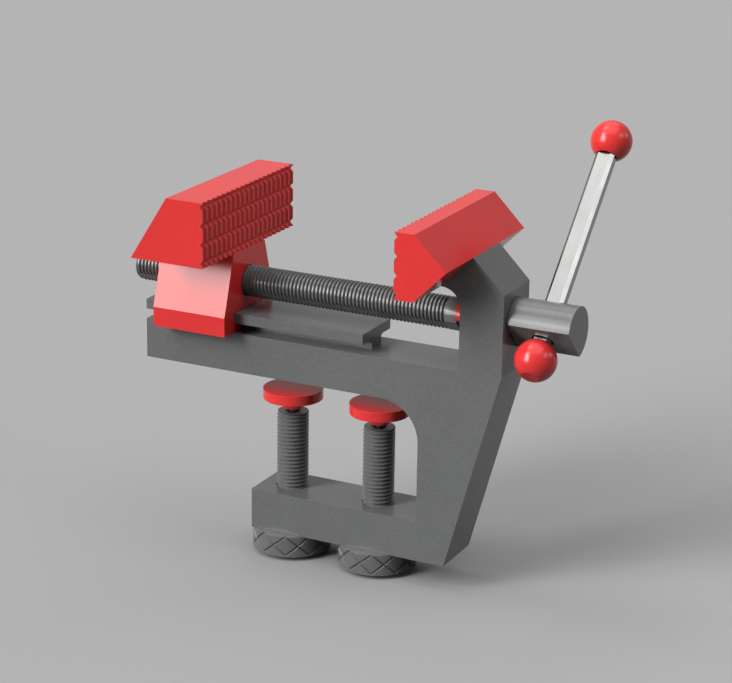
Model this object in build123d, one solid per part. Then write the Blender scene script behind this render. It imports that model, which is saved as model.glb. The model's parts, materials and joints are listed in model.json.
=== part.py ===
from build123d import *
import math
import os

# Bench vise with a table clamp, built in its working position.
# Millimetres. +Z is up, +X runs along the lead screw towards the handle, -Y is the front.
# The origin is on the face that rests on the table, below the middle of the jaw gap.

# ---------------------------------------------------------------- frame
frame_thick = 30.0
beam_left = -100.0
beam_height = 20.0
column_left = 70.0
column_right = 92.0
foot_right = 65.0
arm_left = -40.25
arm_top = -59.6
arm_bottom = -80.0
throat_right = 50.0
throat_radius = 20.0
overhang_radius = 9.5

rail_right = 20.0
rail_web_width = 10.0
rail_web_height = 5.0
rail_plate_height = 5.0
rail_fillet = 2.0

# ---------------------------------------------------------------- jaws
jaw_width = 90.0
jaw_bottom = 60.0
jaw_height = 32.0
jaw_gap = 100.0
jaw_top = jaw_bottom + jaw_height
fixed_top_length = 10.0
moving_top_length = 20.0
moving_bottom_length = 40.0
tooth_count = 20
tooth_groove_half = 1.5
tooth_depth = 1.7
tooth_pitch = jaw_width / tooth_count
cross_groove_count = 4
cross_groove_edge = 2.2
cross_groove_half = 1.75
cross_groove_depth = 1.5
cross_groove_pitch = (jaw_height - 2 * cross_groove_edge) / (cross_groove_count - 1)

slider_length = 40.0
slider_base_half = 24.75
slider_top_half = 15.5
slider_skirt_top = 30.0
slide_gap = 0.3
lip_reach = 7.0

dowel_radius = 3.0
dowel_end_chamfer = 0.5
moving_dowel_in_slider = 7.0
moving_dowel_in_jaw = 9.0
moving_dowel_offset = 9.0
fixed_dowel_half = 12.0
fixed_dowel_offset = 8.0

# ---------------------------------------------------------------- threads
thread_radius = 7.9
thread_depth = 1.1
thread_pitch = 2.0
thread_crest = 0.25
thread_root = 0.5
bore_clearance = 0.1
bore_radius = thread_radius + bore_clearance
root_radius = thread_radius - thread_depth
flank = (thread_pitch - thread_crest - thread_root) / 2

# ---------------------------------------------------------------- lead screw and handle
screw_z = 43.0
screw_left = -111.0
screw_thread_right = 58.55
shoulder_gap = 0.3
clip_gap = 0.3
head_radius = 12.5
head_right = 123.3
flat_distance = 6.9
clip_width = 4.7
clip_outer = 9.5
clip_inner = 6.0
clip_mouth = 10.0
clip_flat_distance = 6.6

handle_tilt = 45.0
handle_x = 107.7
bar_width = 9.3
bar_thick = 7.3
bar_chamfer = 1.6
bar_slide_gap = 0.25
bar_press_gap = 0.02
ball_radius = 10.1
ball_flat = 9.0
upper_ball_at = 104.0
lower_ball_at = -17.5
bar_in_ball = 5.0

# ---------------------------------------------------------------- table clamps
clamp_x = (-25.2, 22.4)
clamp_names = ("left", "right")
pad_radius = 14.9
pad_top = -8.4
pad_thick = 5.0
pad_edge = 0.1
boss_radius = 5.0
boss_length = 5.0
rod_top = -20.4
rod_chamfer = 0.3
stud_radius = 2.0
stud_in_boss = 6.0
stud_ball_radius = 3.5
stud_ball_drop = 5.0
socket_radius = 3.7
socket_mouth = 3.0
socket_flare = 4.0
socket_flare_depth = 1.2
knob_radius = 19.7
knob_top_gap = 0.1
knob_height = 11.1
knob_chamfer = 0.2
knob_groove_count = 10
knob_groove_depth = 0.8
knob_groove_half = 0.6
knob_lattice_rise = 0.95
knob_lattice_height = 10.0
knob_hub_radius = 13.0
knob_hub_height = 2.0
spigot_radius = 6.0
spigot_length = 8.0

# ---------------------------------------------------------------- cutting shapes
cut_over = 1.0
full_turn = 360.0
cut_wide = 4 * head_radius
same_point = 1e-6

# ---------------------------------------------------------------- derived
half_thick = frame_thick / 2
slider_left = -jaw_gap / 2 - slider_length
slider_right = -jaw_gap / 2
fixed_face = jaw_gap / 2
seat_length_x = jaw_height / 2
rail_top = beam_height + rail_web_height + rail_plate_height
bar_dir = Vector(0, math.sin(math.radians(handle_tilt)), math.cos(math.radians(handle_tilt)))
knob_top = arm_bottom - knob_top_gap
knob_bottom = knob_top - knob_height
hub_bottom = knob_bottom - knob_hub_height
bar_reach = math.hypot(bar_width / 2, bar_thick / 2 - bar_chamfer)
bar_hole_radius = bar_reach + bar_slide_gap
ball_bore_radius = bar_reach + bar_press_gap


def prism(points, half_width):
    """Solid from an X-Z outline, spread evenly to both sides of Y = 0."""
    outline = Polyline(*[(x, 0, z) for x, z in points], close=True)
    return extrude(make_face(outline), amount=half_width, dir=(0, 1, 0), both=True)


def prism_x(points, x0, x1):
    """Solid from a Y-Z outline between two X positions."""
    outline = Polyline(*[(x0, y, z) for y, z in points], close=True)
    return extrude(make_face(outline), amount=x1 - x0, dir=(1, 0, 0))


def rod_between(radius, start, end):
    """Cylinder from one point to another."""
    start, end = Vector(*start), Vector(*end)
    plane = Plane(origin=start, z_dir=end - start)
    return plane * Cylinder(radius, (end - start).length, align=(Align.CENTER, Align.CENTER, Align.MIN))


def turned(profile, plane):
    """Solid of revolution: profile is (distance along the axis, radius)."""
    corners = [(radius, 0, along) for along, radius in profile]
    corners = [b for a, b in zip([None] + corners, corners) if a is None or math.dist(a, b) > same_point]
    outline = Polyline(*corners, close=True)
    return plane * revolve(make_face(outline), Axis.Z, full_turn)


def thread_profile(start, count):
    """Outline of a ridged rod: count ridges from start on, one for each pitch of the thread."""
    points = []
    for i in range(count):
        a = start + i * thread_pitch
        points += [
            (a, root_radius),
            (a + flank, thread_radius),
            (a + flank + thread_crest, thread_radius),
            (a + 2 * flank + thread_crest, root_radius),
        ]
    return points


def dowel(start, end):
    """Straight pin with broken end edges."""
    pin = rod_between(dowel_radius, start, end)
    return chamfer(pin.edges().filter_by(GeomType.CIRCLE), dowel_end_chamfer)


def jaw_teeth(face_x, outward):
    """The V-grooves cut into a jaw's gripping face; outward is +1 or -1 along X."""
    deep = face_x - outward * tooth_depth
    past = face_x + outward * tooth_depth
    grooves = []
    for i in range(tooth_count):
        y = -jaw_width / 2 + tooth_pitch / 2 + i * tooth_pitch
        outline = Polyline(
            (past, y - 2 * tooth_groove_half, 0),
            (deep, y, 0),
            (past, y + 2 * tooth_groove_half, 0),
            close=True,
        )
        cutter = extrude(make_face(outline), amount=jaw_height + 2 * cut_over, dir=(0, 0, 1))
        grooves.append(Pos(0, 0, jaw_bottom - cut_over) * cutter)
    for i in range(cross_groove_count):
        z = jaw_top - cross_groove_edge - i * cross_groove_pitch
        deep = face_x - outward * cross_groove_depth
        past = face_x + outward * cross_groove_depth
        points = [
            (past, z - 2 * cross_groove_half),
            (deep, z),
            (past, z + 2 * cross_groove_half),
        ]
        grooves.append(prism(points, jaw_width))
    return grooves


# ---------------------------------------------------------------- frame solid
seat_low = (fixed_face + fixed_top_length, jaw_bottom)
seat_high = (seat_low[0] + seat_length_x, jaw_bottom + seat_length_x)
profile = Polyline(
    (beam_left, 0, 0),
    (beam_left, 0, beam_height),
    (column_left, 0, beam_height),
    (column_left, 0, jaw_bottom),
    (seat_low[0], 0, jaw_bottom),
    (seat_high[0], 0, seat_high[1]),
    (column_right, 0, seat_high[1] - (column_right - seat_high[0])),
    (column_right, 0, beam_height),
    (foot_right, 0, arm_bottom),
    (arm_left, 0, arm_bottom),
    (arm_left, 0, arm_top),
    (throat_right, 0, arm_top),
    (throat_right, 0, 0),
    close=True,
)
c_frame = extrude(make_face(profile), amount=half_thick, dir=(0, 1, 0), both=True)


def corner_block(x, z, radius, x_side, z_side):
    """Material that rounds an inside corner at (x, z); the sides point into the open space."""
    block = Pos(x + x_side * radius / 2, 0, z + z_side * radius / 2) * Box(radius, frame_thick, radius)
    centre = (x + x_side * radius, z + z_side * radius)
    drill = rod_between(radius, (centre[0], -frame_thick, centre[1]), (centre[0], frame_thick, centre[1]))
    return block - drill


c_frame += corner_block(throat_right, 0, throat_radius, -1, -1)
c_frame += corner_block(column_left, jaw_bottom, overhang_radius, -1, -1)

web_half = rail_web_width / 2
rail_length = rail_right - beam_left
rail = Pos((beam_left + rail_right) / 2, 0, beam_height) * (
    Box(rail_length, rail_web_width, rail_web_height, align=(Align.CENTER, Align.CENTER, Align.MIN))
)
rail += Pos((beam_left + rail_right) / 2, 0, beam_height + rail_web_height) * (
    Box(rail_length, frame_thick, rail_plate_height, align=(Align.CENTER, Align.CENTER, Align.MIN))
)
for side in (-1, 1):
    corner_y = side * web_half
    corner_z = beam_height + rail_web_height
    wedge = Pos(
        (beam_left + rail_right) / 2, corner_y + side * rail_fillet / 2, corner_z - rail_fillet / 2
    ) * Box(rail_length, rail_fillet, rail_fillet)
    centre = (corner_y + side * rail_fillet, corner_z - rail_fillet)
    wedge -= rod_between(
        rail_fillet,
        (beam_left - cut_over, centre[0], centre[1]),
        (rail_right + cut_over, centre[0], centre[1]),
    )
    rail += wedge
c_frame += rail

c_frame -= rod_between(
    bore_radius, (column_left - cut_over, 0, screw_z), (column_right + cut_over, 0, screw_z)
)
for x in clamp_x:
    c_frame -= rod_between(bore_radius, (x, 0, arm_bottom - cut_over), (x, 0, arm_top + cut_over))

seat_mid = Vector((seat_low[0] + seat_high[0]) / 2, 0, (seat_low[1] + seat_high[1]) / 2)
seat_out = Vector(-1, 0, 1).normalized()
fixed_dowels = []
for side in (-1, 1):
    middle = seat_mid + Vector(0, side * fixed_dowel_offset, 0)
    start = middle - seat_out * fixed_dowel_half
    end = middle + seat_out * fixed_dowel_half
    fixed_dowels.append(dowel(start, end))
    c_frame -= fixed_dowels[-1]

# ---------------------------------------------------------------- jaws
fixed_jaw = prism(
    [
        (fixed_face, jaw_bottom),
        seat_low,
        seat_high,
        (fixed_face + fixed_top_length, jaw_top),
        (fixed_face, jaw_top),
    ],
    jaw_width / 2,
)
fixed_jaw -= jaw_teeth(fixed_face, -1)
fixed_jaw -= fixed_dowels

moving_jaw = prism(
    [
        (slider_right - moving_bottom_length, jaw_bottom),
        (slider_right, jaw_bottom),
        (slider_right, jaw_top),
        (slider_right - moving_top_length, jaw_top),
    ],
    jaw_width / 2,
)
moving_jaw -= jaw_teeth(slider_right, 1)

slider_low = beam_height + slide_gap
jaw_slider = prism_x(
    [
        (-slider_base_half, slider_low),
        (slider_base_half, slider_low),
        (slider_base_half, slider_skirt_top),
        (slider_top_half, jaw_bottom),
        (-slider_top_half, jaw_bottom),
        (-slider_base_half, slider_skirt_top),
    ],
    slider_left,
    slider_right,
)
channel_half = half_thick + slide_gap
lip_inner = half_thick - lip_reach
plate_low = beam_height + rail_web_height - slide_gap
plate_high = rail_top + slide_gap
jaw_slider -= prism_x(
    [
        (-lip_inner, 0),
        (lip_inner, 0),
        (lip_inner, plate_low),
        (channel_half, plate_low),
        (channel_half, plate_high),
        (-channel_half, plate_high),
        (-channel_half, plate_low),
        (-lip_inner, plate_low),
    ],
    slider_left - cut_over,
    slider_right + cut_over,
)
jaw_slider -= rod_between(
    bore_radius, (slider_left - cut_over, 0, screw_z), (slider_right + cut_over, 0, screw_z)
)

moving_dowels = []
for side in (-1, 1):
    x = (slider_left + slider_right) / 2
    y = side * moving_dowel_offset
    moving_dowels.append(
        dowel((x, y, jaw_bottom - moving_dowel_in_slider), (x, y, jaw_bottom + moving_dowel_in_jaw))
    )
moving_jaw -= moving_dowels
jaw_slider -= moving_dowels

# ---------------------------------------------------------------- lead screw
screw_plane = Plane(origin=(0, 0, screw_z), x_dir=(0, 1, 0), z_dir=(1, 0, 0))
clip_left = column_left - clip_gap - clip_width
clip_right = clip_left + clip_width
head_left = column_right + shoulder_gap
ridge_count = math.ceil((screw_thread_right - screw_left) / thread_pitch)
ridges = thread_profile(screw_thread_right - ridge_count * thread_pitch, ridge_count)
lead_screw = turned(
    [(screw_left, 0)]
    + [(max(along, screw_left), radius) for along, radius in ridges]
    + [
        (screw_thread_right, root_radius),
        (screw_thread_right + flank, thread_radius),
        (clip_left, thread_radius),
        (clip_left, clip_inner),
        (clip_right, clip_inner),
        (clip_right, thread_radius),
        (head_left, thread_radius),
        (head_left, head_radius),
        (head_right, head_radius),
        (head_right, 0),
    ],
    screw_plane,
)


def below_flat(distance):
    """All that lies more than a distance from the lead screw's axis on the side of its flat."""
    middle = Vector((head_right + screw_left) / 2, 0, screw_z)
    plane = Plane(origin=middle - bar_dir * distance, x_dir=(1, 0, 0), z_dir=-bar_dir)
    length = head_right - screw_left + 2 * cut_over
    return plane * Box(length, cut_wide, cut_wide, align=(Align.CENTER, Align.CENTER, Align.MIN))


lead_screw -= below_flat(flat_distance)
handle_centre = Vector(handle_x, 0, screw_z)
lead_screw -= rod_between(
    bar_hole_radius,
    handle_centre - bar_dir * cut_wide,
    handle_centre + bar_dir * cut_wide,
)

clip_ring = turned(
    [
        (clip_left, clip_inner),
        (clip_left, clip_outer),
        (clip_right, clip_outer),
        (clip_right, clip_inner),
    ],
    screw_plane,
)
mouth_plane = Plane(origin=(0, 0, screw_z), x_dir=(1, 0, 0), z_dir=-bar_dir)
mouth = mouth_plane * Pos((clip_left + clip_right) / 2, 0, 0) * Box(
    cut_wide, clip_mouth, cut_wide, align=(Align.CENTER, Align.CENTER, Align.MIN)
)
retaining_clip = clip_ring - below_flat(clip_flat_distance) - mouth

# ---------------------------------------------------------------- handle
bar_plane = Plane(origin=handle_centre, x_dir=(1, 0, 0), z_dir=bar_dir)
bar_start = lower_ball_at - bar_in_ball
bar_end = upper_ball_at + bar_in_ball
bar_section = chamfer(Rectangle(bar_width, bar_thick).vertices(), bar_chamfer)
handle_bar = bar_plane * Pos(0, 0, bar_start) * extrude(bar_section, amount=bar_end - bar_start)
slab = Box(cut_wide, cut_wide, 2 * ball_flat)
ball_bore = Pos(0, 0, bar_start) * Cylinder(
    ball_bore_radius, bar_end - bar_start, align=(Align.CENTER, Align.CENTER, Align.MIN)
)
handle_balls = []
for place in (upper_ball_at, lower_ball_at):
    ball = bar_plane * Pos(0, 0, place) * (Sphere(ball_radius) & slab)
    handle_balls.append(ball - bar_plane * ball_bore)

# ---------------------------------------------------------------- table clamps
clamps = {}
for name, x in zip(clamp_names, clamp_x):
    up = Plane(origin=(x, 0, 0), z_dir=(0, 0, 1))
    pad_low = pad_top - pad_thick
    boss_low = pad_low - boss_length
    pad = turned(
        [
            (pad_top, 0),
            (pad_top, pad_radius - pad_edge),
            (pad_top - pad_edge, pad_radius),
            (pad_low + pad_edge, pad_radius),
            (pad_low, pad_radius - pad_edge),
            (pad_low, boss_radius),
            (boss_low, boss_radius),
            (boss_low, 0),
        ],
        up,
    )
    ball_z = rod_top - stud_ball_drop
    stud = rod_between(stud_radius, (x, 0, ball_z), (x, 0, boss_low + stud_in_boss))
    stud += Pos(x, 0, ball_z) * Sphere(stud_ball_radius)
    pad -= rod_between(stud_radius, (x, 0, boss_low), (x, 0, boss_low + stud_in_boss))

    spigot_end = knob_top - spigot_length
    ridge_top = rod_top - rod_chamfer - thread_crest - flank
    ridge_count = math.ceil((ridge_top - knob_top) / thread_pitch)
    ridges = thread_profile(ridge_top - (ridge_count - 1) * thread_pitch, ridge_count)
    screw = turned(
        [(spigot_end, 0), (spigot_end, spigot_radius), (knob_top, spigot_radius), (knob_top, root_radius)]
        + ridges[:-1]
        + [(rod_top, thread_radius - rod_chamfer), (rod_top, 0)],
        up,
    )
    socket = turned(
        [
            (rod_top + cut_over, 0),
            (rod_top + cut_over, socket_flare),
            (rod_top, socket_flare),
            (rod_top - socket_flare_depth, socket_mouth),
            (ball_z, socket_mouth),
            (ball_z, 0),
        ],
        up,
    )
    socket += Pos(x, 0, ball_z) * Sphere(socket_radius)
    screw -= socket

    knob = turned(
        [
            (hub_bottom, 0),
            (hub_bottom, knob_hub_radius - knob_chamfer),
            (hub_bottom + knob_chamfer, knob_hub_radius),
            (knob_bottom, knob_hub_radius),
            (knob_bottom, knob_radius - knob_chamfer),
            (knob_bottom + knob_chamfer, knob_radius),
            (knob_top - knob_chamfer, knob_radius),
            (knob_top, knob_radius - knob_chamfer),
            (knob_top, 0),
        ],
        up,
    )
    for left_hand in (False, True):
        path = Edge.make_helix(
            knob_lattice_height * knob_groove_count,
            knob_height - knob_lattice_rise + cut_over,
            knob_radius,
            lefthand=left_hand,
        )
        start_plane = Plane(origin=path @ 0, x_dir=(1, 0, 0), z_dir=path % 0)
        section = start_plane * make_face(
            Polyline(
                (-knob_groove_depth, 0),
                (knob_groove_depth, 2 * knob_groove_half),
                (knob_groove_depth, -2 * knob_groove_half),
                close=True,
            )
        )
        groove = Pos(x, 0, knob_bottom + knob_lattice_rise) * sweep(section, path=path, is_frenet=True)
        knob -= [
            groove.rotate(Axis((x, 0, 0), (0, 0, 1)), i * full_turn / knob_groove_count)
            for i in range(knob_groove_count)
        ]
    knob -= rod_between(spigot_radius, (x, 0, spigot_end), (x, 0, knob_top + cut_over))
    clamps["pressure_pad_" + name] = pad
    clamps["swivel_stud_" + name] = stud
    clamps["clamp_screw_" + name] = screw
    clamps["clamp_knob_" + name] = knob

# ---------------------------------------------------------------- output
nodes = {
    "c_frame": c_frame,
    "fixed_jaw": fixed_jaw,
    "fixed_jaw_dowel_front": fixed_dowels[0],
    "fixed_jaw_dowel_back": fixed_dowels[1],
    "jaw_slider": jaw_slider,
    "moving_jaw": moving_jaw,
    "moving_jaw_dowel_front": moving_dowels[0],
    "moving_jaw_dowel_back": moving_dowels[1],
    "lead_screw": lead_screw,
    "retaining_clip": retaining_clip,
    "handle_bar": handle_bar,
    "handle_ball_upper": handle_balls[0],
    "handle_ball_lower": handle_balls[1],
}
nodes.update(clamps)

os.makedirs("parts", exist_ok=True)
for name, shape in nodes.items():
    shape.label = name
    solids = shape.solids()
    box = shape.bounding_box()
    print(
        name,
        "solids", len(solids),
        "valid", shape.is_valid,
        "volume", round(sum(s.volume for s in solids), 1),
        "faces", len(shape.faces()),
        "box", [round(v, 2) for v in (*box.min, *box.max)],
    )
    export_step(shape if len(solids) != 1 else solids[0], "parts/" + name + ".step")
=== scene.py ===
import json
import math
from contextlib import contextmanager

import bmesh
import bpy
from bpy.props import FloatProperty, FloatVectorProperty, IntProperty, PointerProperty
from mathutils import Matrix, Vector

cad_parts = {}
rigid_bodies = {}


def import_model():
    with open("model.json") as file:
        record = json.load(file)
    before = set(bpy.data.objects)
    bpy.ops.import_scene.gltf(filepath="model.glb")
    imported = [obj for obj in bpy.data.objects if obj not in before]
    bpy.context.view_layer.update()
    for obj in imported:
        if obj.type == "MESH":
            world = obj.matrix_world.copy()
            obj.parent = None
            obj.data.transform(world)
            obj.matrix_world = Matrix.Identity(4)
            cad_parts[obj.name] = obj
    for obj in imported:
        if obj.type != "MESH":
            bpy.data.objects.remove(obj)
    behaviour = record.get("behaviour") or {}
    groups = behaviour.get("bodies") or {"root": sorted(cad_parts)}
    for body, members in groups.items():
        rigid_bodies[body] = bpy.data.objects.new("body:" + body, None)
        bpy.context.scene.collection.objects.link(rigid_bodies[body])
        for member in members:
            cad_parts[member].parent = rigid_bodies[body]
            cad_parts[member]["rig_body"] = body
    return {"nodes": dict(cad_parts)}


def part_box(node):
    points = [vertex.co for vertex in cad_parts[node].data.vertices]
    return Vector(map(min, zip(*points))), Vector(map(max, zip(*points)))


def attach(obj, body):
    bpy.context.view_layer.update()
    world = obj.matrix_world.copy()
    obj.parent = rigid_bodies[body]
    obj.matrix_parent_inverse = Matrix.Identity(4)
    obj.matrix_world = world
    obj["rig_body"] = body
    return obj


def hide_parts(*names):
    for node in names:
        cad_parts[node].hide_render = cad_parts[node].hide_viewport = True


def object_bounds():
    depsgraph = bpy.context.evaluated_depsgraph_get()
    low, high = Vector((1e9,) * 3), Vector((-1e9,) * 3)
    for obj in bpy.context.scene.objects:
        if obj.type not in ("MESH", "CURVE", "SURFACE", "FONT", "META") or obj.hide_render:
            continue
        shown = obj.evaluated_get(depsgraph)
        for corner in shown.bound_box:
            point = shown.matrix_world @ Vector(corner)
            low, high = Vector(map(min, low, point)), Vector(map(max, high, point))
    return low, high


bl_info = {
    "name": "Table Clamp Vise",
    "version": (1, 0, 0),
    "blender": (4, 5, 0),
    "location": "View3D > Sidebar > Vise",
    "description": "Finishes a small bench vise with a table clamp: threads, mouldings, handle and stage",
    "category": "Add Mesh",
}

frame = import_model()
CAD_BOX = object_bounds()
FLOOR_Z = CAD_BOX[0].z

# Places read from the CAD nodes, in metres. Both knobs and both clamp screws have the same heights.
SCREW_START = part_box("lead_screw")[0].x
KNOB_LOW, KNOB_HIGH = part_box("clamp_knob_left")
ROD_LOW, ROD_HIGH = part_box("clamp_screw_left")
SIDES = ("left", "right")

# The flats of a round face turn less than this from one to the next, and a true edge turns more.
FACET_TURN = math.radians(12)
THREAD_FACET_TURN = math.radians(30)
KNOB_FACET_TURN = math.radians(25)
# Faces that turn less than this from one to the next are one flat face.
FLAT_TURN = math.radians(0.2)

# Points this near each other are one point, and heights this near are one height, in metres.
SAME_POINT = 2e-6
SAME_HEIGHT = 1e-6
# An edge shorter than this is nothing, and a point this near a cut lies on it.
NO_LENGTH = 1e-7


def plain(hex_text):
    """An sRGB colour, written as six hex digits, as the linear red, green, blue and alpha of a shader."""
    channels = [int(hex_text[i : i + 2], 16) / 255 for i in (0, 2, 4)]
    # The curve of the sRGB standard: straight near black, and a power above it.
    linear = [c / 12.92 if c <= 0.04045 else ((c + 0.055) / 1.055) ** 2.4 for c in channels]
    return (*linear, 1.0)


# ---------------------------------------------------------------- settings


class ViseSizes(bpy.types.PropertyGroup):
    """Sizes of the pieces that are built here rather than carried over from the CAD."""

    pitch: FloatProperty(
        name="Thread Pitch", description="Distance between two ridges of the screws",
        default=0.002, min=0.0005, unit="LENGTH",
    )
    thread_radius: FloatProperty(
        name="Thread Radius", description="From a screw's axis to the top of its thread",
        default=0.0079, min=0.001, unit="LENGTH",
    )
    thread_depth: FloatProperty(
        name="Thread Depth", description="From the top of a ridge to the bottom of the groove",
        default=0.0011, min=0.0001, unit="LENGTH",
    )
    crest_width: FloatProperty(
        name="Crest Width", description="Width of a ridge's flat top",
        default=0.00025, min=0.0, unit="LENGTH",
    )
    root_width: FloatProperty(
        name="Root Width", description="Width of the groove's flat bottom",
        default=0.0005, min=0.0, unit="LENGTH",
    )
    steps_around: IntProperty(
        name="Steps Around", description="Flat faces in one turn of a thread", default=72, min=12,
    )
    screw_height: FloatProperty(
        name="Lead Screw Height", description="Height of the lead screw's axis over the table face",
        default=0.043, unit="LENGTH",
    )
    shank_start: FloatProperty(
        name="Shank Start", description="Place along the lead screw where its thread ends",
        default=0.0592, unit="LENGTH",
    )
    run_out: FloatProperty(
        name="Run Out", description="Length over which the lead screw's groove rises to the shank",
        default=0.0006, min=0.0, unit="LENGTH",
    )
    flat_distance: FloatProperty(
        name="Flat Distance", description="From the lead screw's axis to the flat along it",
        default=0.0069, unit="LENGTH",
    )
    handle_tilt: FloatProperty(
        name="Handle Tilt", description="How far the handle leans back from upright",
        default=math.radians(45), unit="ROTATION",
    )
    rod_top: FloatProperty(
        name="Clamp Screw Top", description="Height of the top face of the clamp screws",
        default=ROD_HIGH.z, unit="LENGTH",
    )
    rod_chamfer: FloatProperty(
        name="Clamp Screw Chamfer", description="Bevel round the top face of the clamp screws",
        default=0.0003, min=0.0, unit="LENGTH",
    )
    socket_mouth: FloatProperty(
        name="Socket Mouth", description="Radius of the throat that holds a pad's ball stud",
        default=0.003, unit="LENGTH",
    )
    socket_flare: FloatProperty(
        name="Socket Flare", description="Radius of the countersink over the socket",
        default=0.004, unit="LENGTH",
    )
    socket_radius: FloatProperty(
        name="Socket Radius", description="Radius of the round socket", default=0.0037, unit="LENGTH",
    )
    flare_depth: FloatProperty(
        name="Flare Depth", description="Depth of the countersink over the socket",
        default=0.0012, unit="LENGTH",
    )
    socket_drop: FloatProperty(
        name="Socket Drop", description="From a clamp screw's top face to the middle of its socket",
        default=0.005, unit="LENGTH",
    )
    spigot_radius: FloatProperty(
        name="Spigot Radius", description="Radius of a clamp screw's end inside its knob",
        default=0.006, unit="LENGTH",
    )
    knob_grooves: IntProperty(
        name="Knob Grooves", description="Slanted grooves round a knob, in each of the two directions",
        default=10, min=3,
    )
    knob_groove_depth: FloatProperty(
        name="Knob Groove Depth", description="Depth of a knob's grooves", default=0.0008, unit="LENGTH",
    )
    knob_groove_half: FloatProperty(
        name="Knob Groove Half Width", description="From the middle of a knob's groove to its edge",
        default=0.0006, unit="LENGTH",
    )
    knob_lattice_rise: FloatProperty(
        name="Knob Lattice Rise",
        description="Height of the grooves' lowest crossings over a knob's bottom",
        default=0.00095, unit="LENGTH",
    )
    knob_lattice_height: FloatProperty(
        name="Knob Lattice Height", description="Height of a whole diamond between a knob's grooves",
        default=0.010, unit="LENGTH",
    )
    knob_chamfer: FloatProperty(
        name="Knob Chamfer", description="Bevel round a knob's top and bottom",
        default=0.0002, unit="LENGTH",
    )
    knob_hub_radius: FloatProperty(
        name="Knob Hub Radius", description="Radius of the raised middle under a knob",
        default=0.013, unit="LENGTH",
    )
    knob_hub_height: FloatProperty(
        name="Knob Hub Height", description="How far a knob's hub stands out below it",
        default=0.002, unit="LENGTH",
    )
    moulded_edge: FloatProperty(
        name="Moulded Edge", description="Radius that light finds on the edges of the mouldings",
        default=0.0001, min=0.0, unit="LENGTH",
    )


class ViseFinishes(bpy.types.PropertyGroup):
    """Colours and surface of the materials."""

    grey_abs: FloatVectorProperty(
        name="Grey ABS", description="Frame, screws and knobs", subtype="COLOR", size=4,
        default=plain("676868"), min=0, max=1,
    )
    red_abs: FloatVectorProperty(
        name="Red ABS", description="Jaws, slider, pads, clip and handle balls", subtype="COLOR", size=4,
        default=plain("df3333"), min=0, max=1,
    )
    ground_steel: FloatVectorProperty(
        name="Ground Steel", description="Handle bar", subtype="COLOR", size=4,
        default=plain("989897"), min=0, max=1,
    )
    turned_steel: FloatVectorProperty(
        name="Turned Steel", description="Ball studs and dowels", subtype="COLOR", size=4,
        default=plain("55575a"), min=0, max=1,
    )
    gloss: FloatProperty(
        name="Moulding Roughness", description="Roughness of the moulded plastic",
        default=0.22, min=0, max=1,
    )
    bar_roughness: FloatProperty(
        name="Bar Roughness", description="Roughness of the handle bar", default=0.22, min=0, max=1,
    )
    pin_roughness: FloatProperty(
        name="Pin Roughness", description="Roughness of the ball studs and dowels",
        default=0.38, min=0, max=1,
    )
    grain: FloatProperty(
        name="Grain", description="Size of the fine grain in the moulded surface", default=0.0007,
        min=0.0001, unit="LENGTH",
    )


class ViseStage(bpy.types.PropertyGroup):
    """Camera, floor and light."""

    azimuth: FloatProperty(
        name="Azimuth", description="Camera's turn from the front towards the handle",
        default=math.radians(26.271), unit="ROTATION",
    )
    elevation: FloatProperty(
        name="Elevation", description="Camera's height over the horizon", default=math.radians(17.986),
        unit="ROTATION",
    )
    roll: FloatProperty(
        name="Roll", description="Camera's turn about its own axis", default=math.radians(0.917),
        unit="ROTATION",
    )
    distance: FloatProperty(
        name="Distance", description="From the camera to the point it looks at", default=1.14479,
        unit="LENGTH",
    )
    target: FloatVectorProperty(
        name="Target", description="Point the camera looks at", default=(0.01437, 0.0, 0.02157),
        subtype="XYZ", unit="LENGTH",
    )
    lens: FloatProperty(name="Lens", description="Focal length on a 36 mm wide picture", default=116.766)
    backdrop: FloatVectorProperty(
        name="Backdrop", description="Colour of the room around the object", subtype="COLOR", size=4,
        default=plain("b2b2b2"), min=0, max=1,
    )
    floor: FloatVectorProperty(
        name="Floor", description="Colour of the floor", subtype="COLOR", size=4,
        default=plain("a2a2a2"), min=0, max=1,
    )
    floor_bounce: FloatVectorProperty(
        name="Floor Bounce", description="Colour of the floor in the light that it throws back up",
        subtype="COLOR", size=4, default=plain("464646"), min=0, max=1,
    )
    room: FloatVectorProperty(
        name="Room", description="Light that comes from all around, besides the panels", subtype="COLOR",
        size=4, default=plain("484848"), min=0, max=1,
    )
    panel_level: FloatProperty(
        name="Panel Level", description="Strength of all light panels together", default=1.0, min=0,
    )


# ---------------------------------------------------------------- small helpers


def add(tree, kind, inputs=None, **settings):
    """Adds a node. inputs maps a socket's name or number to a value, or to the output to link it to."""
    node = tree.nodes.new(kind)
    for key, value in settings.items():
        setattr(node, key, value)
    for key, value in (inputs or {}).items():
        if isinstance(value, bpy.types.NodeSocket):
            tree.links.new(value, node.inputs[key])
        else:
            node.inputs[key].default_value = value
    return node


def named_piece(node, ending, mesh, material):
    """Puts a finished mesh in the scene in place of a CAD node, on that node's body."""
    piece = bpy.data.objects.new(node + ending, mesh)
    bpy.context.scene.collection.objects.link(piece)
    mesh.materials.clear()
    mesh.materials.append(material)
    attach(piece, frame["nodes"][node]["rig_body"])
    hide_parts(node)


def finished_node(node, ending, material):
    """Shows a CAD node's own shape with clean shading and its material."""
    named_piece(node, ending, flat_and_round(merged_copy(node)), material)


def axis_of(node):
    """Where the upright axis of a round CAD node stands along X."""
    low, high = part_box(node)
    return (low.x + high.x) / 2


@contextmanager
def opened(mesh):
    """Opens a mesh for changes as a bmesh, and writes them back at the end."""
    shell = bmesh.new()
    shell.from_mesh(mesh)
    yield shell
    shell.to_mesh(mesh)
    shell.free()


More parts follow.
